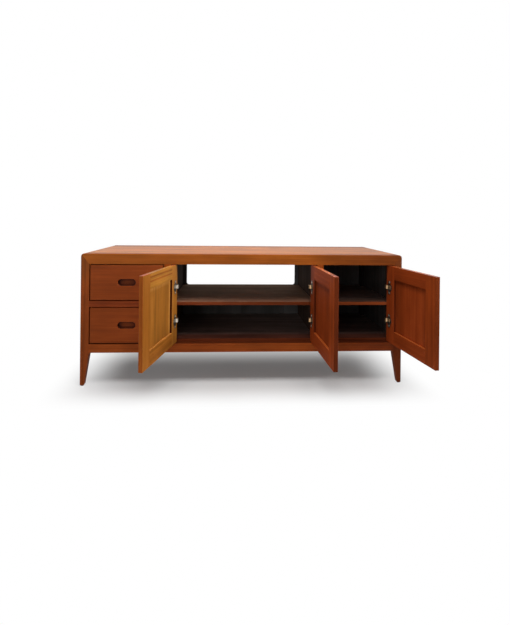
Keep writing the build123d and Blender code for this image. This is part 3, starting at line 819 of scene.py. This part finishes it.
# %% [markdown]
# ## A golden door and two red ones
# The doors are redder than the carcase, but the inside of the left one is painted a honey colour,
# as painted light from the right, and its top rail paler than the rest. Only the faces that look
# into the room are painted so: the edges and the walls of the recess keep their red, and the wall
# on the hinge side is darker. A second, golden wood for that whole door would be simpler, but its
# outside is as red as its neighbours when it is shut, so the gold is a layer on its inner faces.

# %% The left door
GOLD, WARM_GOLD = wood(152, 95, 34), wood(148, 88, 29)
LIGHT_GOLD, PALE_GOLD = wood(180, 119, 45), wood(184, 124, 54)
LIT_INNER_GOLD = {"hinge_stile": GOLD, "latch_stile": WARM_GOLD, "top_rail": LIGHT_GOLD,
            "bottom_rail": WARM_GOLD, "panel": GOLD}
DOOR_BROWN = wood(151, 77, 26)
LEFT_RECESS_SHADE = 0.93
PALE_SHARE = 0.8
PALE_BAND = 22.0 * MM
VEIN_DROPS = (15.0 * MM, 32.0 * MM)
VEIN_WIDTH = 5.5 * MM


def left_door_layers(part, inward, latchward):
    """The left door: painted honey-coloured inside, as painted light, with two dark veins in its top rail.
    """
    layers = [turned(inward, LIT_INNER_GOLD[part])]
    if part == "hinge_stile":
        layers.append(turned(latchward, DEEP, LEFT_RECESS_SHADE))
    elif part == "latch_stile":
        layers += [turned(latchward, DOOR_BROWN), painted_pocket_shade]
    elif part == "panel":
        layers.append(banded("left_door", ("top", "left", "right"), PALE_BAND, PALE_GOLD, PALE_SHARE))
    else:
        # Painted highlight: the rails' upward faces are paler.
        layers.append(turned(UPWARD, PALE_GOLD, PALE_SHARE))
    if part == "top_rail":
        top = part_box("left_door_top_rail")[1].z
        layers.append(veined([top - drop for drop in VEIN_DROPS], VEIN_WIDTH, DOOR_BROWN))
    return layers


print("bleached parts:", sorted(LIT_INNER_GOLD))

# %% The red doors
LIT_LEDGE = wood(178, 88, 35)
LIT_LEDGE_SHARE = 0.8
SHADED_DOOR_END = wood(108, 44, 17)
RECESS_SHADE = 0.6
SHADE_BAND = 34.0 * MM
SHADE_SHARE = 0.25


def red_door_layers(door, part, latchward):
    """The other two doors: red all over, darker on the hinge side's recess wall, with a band of painted
    shade on the panel and painted highlights on the upward faces.
    """
    if part == "hinge_stile":
        return [turned(latchward, DEEP, RECESS_SHADE)]
    if part == "latch_stile":
        # Painted shade: the middle door's latch end face is darker.
        shaded_end = [turned(latchward, SHADED_DOOR_END)] if door == "middle_door" else []
        return shaded_end + [painted_pocket_shade]
    if part == "panel":
        # Painted shade: a darker band along the panel's top and one side.
        return [banded(door, ("top", "left"), SHADE_BAND, DEEP, SHADE_SHARE)]
    # Painted highlight: the upward faces of the rails take the lit ledge tones.
    return [turned(UPWARD, LIT_LEDGE, LIT_LEDGE_SHARE)]


print("tones of a ledge:", [[round(v, 3) for v in band] for band in LIT_LEDGE])

# %% Finishes for the doors
DOOR_GRAIN = {"hinge_stile": "Z", "latch_stile": "Z", "top_rail": "X", "bottom_rail": "X", "panel": "Z"}
DOOR_RED, PANEL_RED, LATCH_RED = wood(139, 57, 21), wood(134, 55, 20), wood(150, 64, 24)
DOOR_TONES = {"hinge_stile": DOOR_RED, "latch_stile": LATCH_RED, "top_rail": DOOR_RED,
              "bottom_rail": PANEL_RED, "panel": PANEL_RED}
DOOR_LOOK = {"gloss": 0.55, "specular": 0.05}
DOOR_POLISH = 0.5
LEFT_DOOR_POLISH = 0.4
PANEL_STRIP = 78.0 * MM


def dress_door(door):
    """Finishes the five boards of a door, whose directions turn with it."""
    turn = DOOR_TURNS[door]
    swing = Matrix.Rotation(turn, 3, "Z")
    inward = swing @ BACKWARD
    latchward = swing @ Vector((-math.copysign(1.0, turn), 0, 0))
    for part, grain in DOOR_GRAIN.items():
        if door == "left_door":
            look = dict(DOOR_LOOK, polish=LEFT_DOOR_POLISH, layers=left_door_layers(part, inward, latchward))
        else:
            look = dict(DOOR_LOOK, polish=DOOR_POLISH, layers=red_door_layers(door, part, latchward))
        if part == "panel":
            look.update(glued=("Z", PANEL_STRIP), figure=0.2, staves=0.14, polish=0.0)
        wear(timber(f"{door}_{part}", DOOR_TONES[part], grain, turn, **look), f"{door}_{part}")


for door in DOORS:
    dress_door(door)
print("doors finished:", DOORS)

# %% [markdown]
# ## Hinge steel
# The hinges are pressed from sheet steel. The left door's arms and pins are bright nickel, those
# of the others have yellowed, the mounting plates have a dull plating and the cups a dark one. One
# metal with a single grey would look like plastic, so the tone and the gloss vary with a fine
# cloudiness, which the plating bath leaves.

# %% Hinge steel
PLATING_CLOUDS = (260.0, 260.0, 260.0)
SCUFFS = (900.0, 900.0, 90.0)
PLATING_STOPS = (0.3, 0.7)
CLOUD_ROUGHNESS = 0.12
SCUFF_ROUGHNESS = 0.1
SCUFF_DEPTH = {"Strength": 0.1, "Distance": 0.1 * MM}


def plated(name, dark, light, gloss):
    """Plated sheet steel, between two tones."""
    paint = new_finish(name)
    place = paint.node("TexCoord", output="Object")
    cloud = paint.noise(place * PLATING_CLOUDS, detail=3.0)
    scuff = paint.noise(place * SCUFFS)
    colour = paint.ramp(cloud, *zip(PLATING_STOPS, (dark, light)))
    roughness = gloss + cloud * CLOUD_ROUGHNESS + scuff * SCUFF_ROUGHNESS
    bump = paint.node("Bump", None, {"Height": scuff, **SCUFF_DEPTH})
    surface = paint.node("BsdfPrincipled", None, {
        "Base Color": colour, "Metallic": 1.0, "Roughness": roughness, "Normal": bump})
    return paint.output(surface)


nickel = plated("bright_nickel", dark=(0.52, 0.45, 0.36), light=(0.78, 0.71, 0.60), gloss=0.24)
yellowed_nickel = plated("yellowed_nickel", dark=(0.46, 0.28, 0.14), light=(0.76, 0.51, 0.28), gloss=0.28)
dull_plating = plated("dull_plating", dark=(0.17, 0.15, 0.13), light=(0.31, 0.28, 0.24), gloss=0.34)
dark_plating = plated("dark_plating", dark=(0.09, 0.08, 0.07), light=(0.19, 0.17, 0.15), gloss=0.34)
BRIGHT_NODES = names("left_door_hinge_pins", "left_door_hinge_arms")
YELLOWED_NODES = [n for n in names("hinge_pins", "hinge_arms") if n not in BRIGHT_NODES]
DULL_NODES = ["hinge_plates"]
DARK_NODES = names("hinge_cups")
wear(nickel, *BRIGHT_NODES)
wear(yellowed_nickel, *YELLOWED_NODES)
wear(dull_plating, *DULL_NODES)
wear(dark_plating, *DARK_NODES)
STEEL_NODES = BRIGHT_NODES + YELLOWED_NODES + DULL_NODES + DARK_NODES
print("steel on", len(STEEL_NODES), "nodes")

# %% [markdown]
# ## A cross-head screw
# Each cup is held by two cross-head screws through its ears, each mounting plate by two through
# its wings, and each arm by one through its foot. A head could be a dome with a picture of a
# cross, but the slots catch the light only if they are real, so one head is modelled with its
# recess and set down wherever a screw sits.

# %% Outline of the cross
CROSS_ARM = 0.5
CROSS_WIDTH = 0.14


def cross_outline():
    """The twelve corners of a cross, anticlockwise."""
    quarter = [(CROSS_ARM, -CROSS_WIDTH), (CROSS_ARM, CROSS_WIDTH), (CROSS_WIDTH, CROSS_WIDTH)]
    turns = [Matrix.Rotation(math.pi / 2 * step, 2) for step in range(4)]
    return [turn @ Vector(corner) for turn in turns for corner in quarter]


def ring_walls(head, lower, upper):
    """Faces between two rings of as many points."""
    for index in range(len(lower)):
        after = (index + 1) % len(lower)
        head.faces.new((lower[index], lower[after], upper[after], upper[index]))


def loop_edges(head, ring):
    """The edges round a ring, new where there are none yet."""
    return [head.edges.get(pair) or head.edges.new(pair) for pair in zip(ring, ring[1:] + ring[:1])]


print("corners of the cross:", len(cross_outline()))

# %% Screw head
HEAD_SIDES = 24
HEAD_PROFILE = ((1.0, -0.15), (1.0, 0.35), (0.86, 0.75), (0.66, 1.0))
CROSS_FLOOR = 0.3


def add_screw(head, place, radius, height):
    """Adds a closed screw head to a mesh, on a place whose Z axis points out of the surface."""
    angles = [2 * math.pi * step / HEAD_SIDES for step in range(HEAD_SIDES)]

    def point(x, y, z):
        return head.verts.new(place @ Vector((x * radius, y * radius, z * height)))

    levels = [[point(r * math.cos(a), r * math.sin(a), z) for a in angles] for r, z in HEAD_PROFILE]
    for lower, upper in zip(levels, levels[1:]):
        ring_walls(head, lower, upper)
    head.faces.new(levels[0][::-1])
    rim = [point(c.x, c.y, 1.0) for c in cross_outline()]
    bed = [point(c.x, c.y, CROSS_FLOOR) for c in cross_outline()]
    bmesh.ops.triangle_fill(head, use_beauty=True, use_dissolve=False,
                            edges=loop_edges(head, levels[-1]) + loop_edges(head, rim))
    ring_walls(head, bed, rim)
    head.faces.new(bed)


def screws(name, body, places, radius, height, material):
    """One piece of many like screws, which rides a body."""
    heads = bmesh.new()
    for place in places:
        add_screw(heads, place, radius, height)
    bmesh.ops.recalc_face_normals(heads, faces=heads.faces)
    mesh = bpy.data.meshes.new(name)
    heads.to_mesh(mesh)
    heads.free()
    mesh.materials.append(material)
    piece = bpy.data.objects.new(name, mesh)
    bpy.context.scene.collection.objects.link(piece)
    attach(piece, body)
    print(name, len(places), "screws,", len(mesh.polygons), "faces")


print("levels of a head:", len(HEAD_PROFILE), "with", HEAD_SIDES, "sides")

# %% [markdown]
# ## Where the hinge screws sit
# A screw has to sit on the ear, wing or foot that it holds. Typed coordinates would be quicker,
# but they would leave the screws behind when a hinge is moved. So the hinge nodes are taken apart
# into their separate solids, and the places are measured on those.

# %% Solids of a node
SAME_POINT = 0.001 * MM


def solids_of(node, turn=0.0):
    """The points of each separate solid of a node, with a door's turn taken back."""
    back = Matrix.Rotation(-turn, 3, "Z")
    shape = bmesh.new()
    shape.from_mesh(nodes[node].data)
    bmesh.ops.remove_doubles(shape, verts=shape.verts, dist=SAME_POINT)
    left, found = set(shape.verts), []
    while left:
        group, edge_of_group = set(), {left.pop()}
        while edge_of_group:
            group |= edge_of_group
            edge_of_group = {e.other_vert(v) for v in edge_of_group for e in v.link_edges} - group
        left -= group
        found.append([back @ v.co for v in group])
    shape.free()
    return sorted(found, key=lambda points: tuple(round(v, 4) for v in box_of(points)[0]))


def on_face(place, normal, turn=0.0):
    """A frame at a place, with its Z axis along a face's normal."""
    upright = Matrix.Translation(place) @ normal.to_track_quat("Z", "Y").to_matrix().to_4x4()
    return Matrix.Rotation(turn, 4, "Z") @ upright


print("mounting plates:", len(solids_of("hinge_plates")))

# %% Hinge screws
SCREW_RADIUS = 3.5 * MM
SCREW_HEIGHT = 1.3 * MM
EAR_DISTANCE = 24.0 * MM
WING_DISTANCE = 18.0 * MM
FOOT_DISTANCE = 9.0 * MM


def cup_screw_places(door):
    """Two ears a cup, above and below it, on the flange."""
    turn = DOOR_TURNS[door]
    for points in solids_of(door + "_hinge_cups", turn):
        low, high = box_of(points)
        middle = (low + high) / 2
        for step in (-EAR_DISTANCE, EAR_DISTANCE):
            yield on_face(Vector((middle.x, high.y, middle.z + step)), BACKWARD, turn)


def towards_bay(x):
    """The way a plate or an arm at this side of a bay faces, and which corner of its box is out."""
    return (LEFTWARD, 0) if x > 0 else (RIGHTWARD, 1)


def plate_screw_places():
    """Two wings a mounting plate."""
    for points in solids_of("hinge_plates"):
        corners = box_of(points)
        middle = (corners[0] + corners[1]) / 2
        normal, outer = towards_bay(middle.x)
        for step in (-WING_DISTANCE, WING_DISTANCE):
            yield on_face(Vector((corners[outer].x, middle.y, middle.z + step)), normal)


def arm_screw_places(door):
    """One screw in the foot of each arm, which lies on the mounting plate."""
    for points in solids_of(door + "_hinge_arms"):
        low, high = box_of(points)
        foot = box_of([p for p in points if p.y > high.y - FOOT_DISTANCE])
        normal, outer = towards_bay(high.x)
        middle = (low.z + high.z) / 2
        yield on_face(Vector((foot[outer].x, high.y - FOOT_DISTANCE, middle)), normal)


for door in DOORS:
    screws(door + "_hinge_screws", door, list(cup_screw_places(door)), SCREW_RADIUS, SCREW_HEIGHT, nickel)
plate_places = list(plate_screw_places()) + [p for door in DOORS for p in arm_screw_places(door)]
screws("hinge_plate_screws", "carcase", plate_places, SCREW_RADIUS, SCREW_HEIGHT, nickel)

# %% [markdown]
# ## Screws of the back
# The thin back panels are screwed on from behind, along all four edges. An array modifier could
# repeat one screw along a line, but the panels differ in width, so the places are shared out
# evenly between the corners of each panel, about a fixed spacing apart.

# %% Screws of the back
BACK_SCREW_RADIUS = 3.0 * MM
BACK_SCREW_HEIGHT = 1.1 * MM
BACK_SCREW_EDGE = 9.0 * MM
BACK_SCREW_SPACING = 180.0 * MM


def even_steps(start, end, spacing):
    """Places from start to end, about a spacing apart."""
    count = max(1, round((end - start) / spacing))
    return [start + (end - start) * step / count for step in range(count + 1)]


def back_screw_places(node):
    """Along all four edges of a back panel, on its rear face."""
    low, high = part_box(node)
    xs = even_steps(low.x + BACK_SCREW_EDGE, high.x - BACK_SCREW_EDGE, BACK_SCREW_SPACING)
    zs = even_steps(low.z + BACK_SCREW_EDGE, high.z - BACK_SCREW_EDGE, BACK_SCREW_SPACING)
    rim = [(x, z) for x in xs for z in zs if x in (xs[0], xs[-1]) or z in (zs[0], zs[-1])]
    return [on_face(Vector((x, high.y, z)), BACKWARD) for x, z in rim]


back_places = [place for node in names("back_panel") for place in back_screw_places(node)]
screws("back_panel_screws", "carcase", back_places, BACK_SCREW_RADIUS, BACK_SCREW_HEIGHT, dull_plating)

# %% [markdown]
# ## Eased edges
# A joiner takes every sharp edge off with a few strokes of sandpaper, and the thin bright line
# that this leaves is what makes a board look like wood and not like card. The construction
# model's meshes stay as they are, so modifiers do the easing: the triangles of each flat face
# are first merged into one face, and then every edge that is sharp gets a narrow round. Boards
# that lie flush with their neighbours get a finer round, so that their joints hardly show.

# %% Eased edges
EASED = 0.8 * MM
FLUSH_EASED = 0.25 * MM
EASED_SEGMENTS = 2
SHARP = math.radians(40)
FLAT = math.radians(1)
WELD_DISTANCE = 0.01 * MM
FLUSH_NODES = names("post", "apron", "top_rail", "top_panel", "drawer_rail", "divider")


def ease(node, width):
    """Rounds the sharp edges of a construction node, over its untouched mesh."""
    body = nodes[node]
    weld = body.modifiers.new("weld", "WELD")
    weld.merge_threshold = WELD_DISTANCE
    merge = body.modifiers.new("flat_faces", "DECIMATE")
    merge.decimate_type = "DISSOLVE"
    merge.angle_limit = FLAT
    bevel = body.modifiers.new("eased_edges", "BEVEL")
    bevel.width = width
    bevel.segments = EASED_SEGMENTS
    bevel.limit_method = "ANGLE"
    bevel.angle_limit = SHARP
    bevel.harden_normals = True
    bevel.use_clamp_overlap = True


timber_nodes = [n for n in sorted(nodes) if n not in STEEL_NODES]
for node in timber_nodes:
    ease(node, FLUSH_EASED if node in FLUSH_NODES else EASED)
print("eased edges on", len(timber_nodes), "boards")

# %% [markdown]
# ## Sizes
# Finishing a cabinet doesn't change its size. That could be judged by eye, but a few tenths of a
# millimetre wouldn't show. The box of the construction model is printed when it is loaded.
